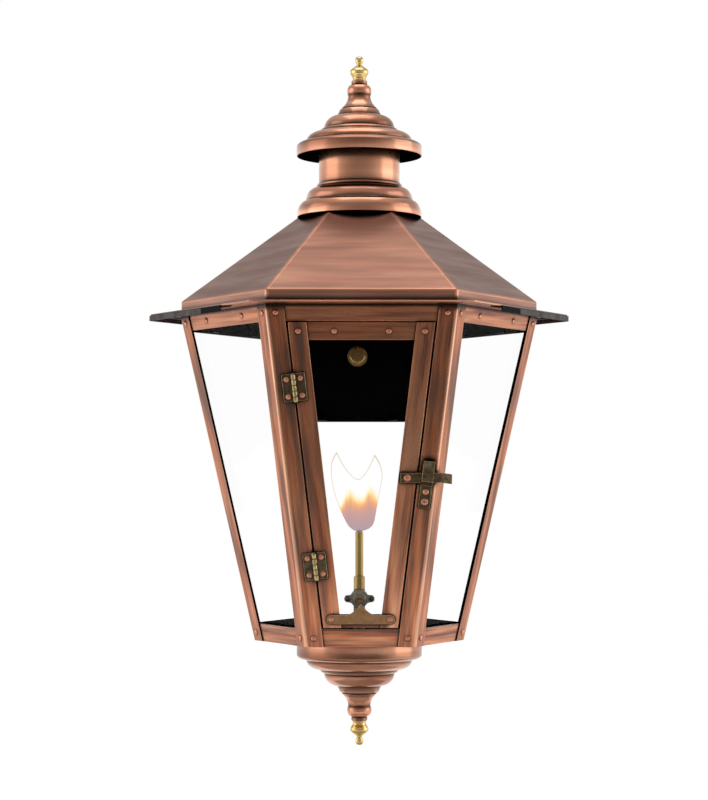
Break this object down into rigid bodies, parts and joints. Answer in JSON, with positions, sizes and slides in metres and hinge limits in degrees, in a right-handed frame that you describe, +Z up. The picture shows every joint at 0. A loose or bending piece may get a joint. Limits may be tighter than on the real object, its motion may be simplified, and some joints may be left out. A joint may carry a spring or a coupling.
{
  "type": "wall lantern",
  "caption": "Six-sided copper gas wall lantern with a tapered glazed frame, hinged latched door, plug-valve burner and vented chimney.",
  "frame": {"origin": "on the wall plane, in the lantern's middle plane, at the height of the hanging stud", "axes": "+Z up, +Y into the wall, the door faces -Y, +X to the right seen from in front"},
  "size_m": [0.4192, 0.3636, 0.6885],
  "materials": {
    "copper_sheet": "brushed copper sheet with a dark brown patina",
    "polished_brass": "polished",
    "rivet_copper": "bright copper",
    "steel": "plain zinc-plated steel",
    "clear_glass": "clear",
    "badge_brass": "satin brass, bare of any lettering",
    "aged_brass": "dark antique brass",
    "grey_paint": "grey",
    "black_seal": "black",
    "black_paint": "matt black",
    "gunmetal": "dull dark bronze casting",
    "yellow_brass": "bright drawn brass",
    "burner_ceramic": "unglazed",
    "tube_copper": "drawn copper tube"
  },
  "bodies": {
    "frame": {"top_finial": "polished_brass", "top_neck": "copper_sheet", "chimney_cap": "copper_sheet", "cap_rod": "steel", "cap_bridge": "steel", "chimney_tube": "copper_sheet", "chimney_collar": "copper_sheet", "roof": "copper_sheet", "deck_plate": "copper_sheet", "wind_guard": "grey_paint", "guard_ends": "black_seal", "post_front_right": "copper_sheet", "post_right": "copper_sheet", "post_back_right": "copper_sheet", "post_back_left": "copper_sheet", "post_left": "copper_sheet", "post_front_left": "copper_sheet", "top_hoop": "copper_sheet", "floor_pan": "copper_sheet", "pane_front_right": "clear_glass", "pane_back_right": "clear_glass", "pane_back": "clear_glass", "pane_back_left": "clear_glass", "pane_front_left": "clear_glass", "pane_clips": "copper_sheet", "frame_rivets": "rivet_copper", "door_stops": "copper_sheet", "back_panel": "black_paint", "wall_box": "copper_sheet", "wall_bracket": "steel", "cap_nut": "polished_brass", "upper_post_leaf": "aged_brass", "lower_post_leaf": "aged_brass", "hinge_pins": "aged_brass", "latch_keeper": "aged_brass", "keeper_fasteners": "rivet_copper", "valve_body": "gunmetal", "valve_cover": "gunmetal", "valve_screws": "steel", "burner_coupling": "yellow_brass", "burner_tube": "yellow_brass", "burner_tip": "burner_ceramic", "gas_tube": "tube_copper", "base_dish": "copper_sheet", "base_neck": "copper_sheet", "bottom_finial": "polished_brass", "base_rod": "steel"},
    "door": {"door_stile_left": "copper_sheet", "door_stile_right": "copper_sheet", "door_top_rail": "copper_sheet", "door_bottom_rail": "copper_sheet", "door_glass": "clear_glass", "door_badge": "badge_brass", "door_rivets": "rivet_copper", "door_clips": "copper_sheet", "upper_door_leaf": "aged_brass", "lower_door_leaf": "aged_brass", "latch_pivot": "rivet_copper"},
    "latch_arm": {"latch_arm": "aged_brass"},
    "valve_stem": {"valve_stem": "yellow_brass"}
  },
  "joints": [
    {"name": "door_hinge", "type": "hinge", "parent": "frame", "child": "door", "pos_m": [-0.05308, -0.30827, -0.12813], "axis": [0.1113, 0.1928, -0.9749], "range_deg": [0, 120]},
    {"name": "latch_turn", "type": "hinge", "parent": "door", "child": "latch_arm", "pos_m": [0.04357, -0.30712, -0.128], "axis": [0, -0.981, -0.194], "range_deg": [0, 80]},
    {"name": "valve_turn", "type": "hinge", "parent": "frame", "child": "valve_stem", "pos_m": [0, -0.192, -0.2486], "axis": [0, -1, 0], "range_deg": [0, 90]}
  ]
}
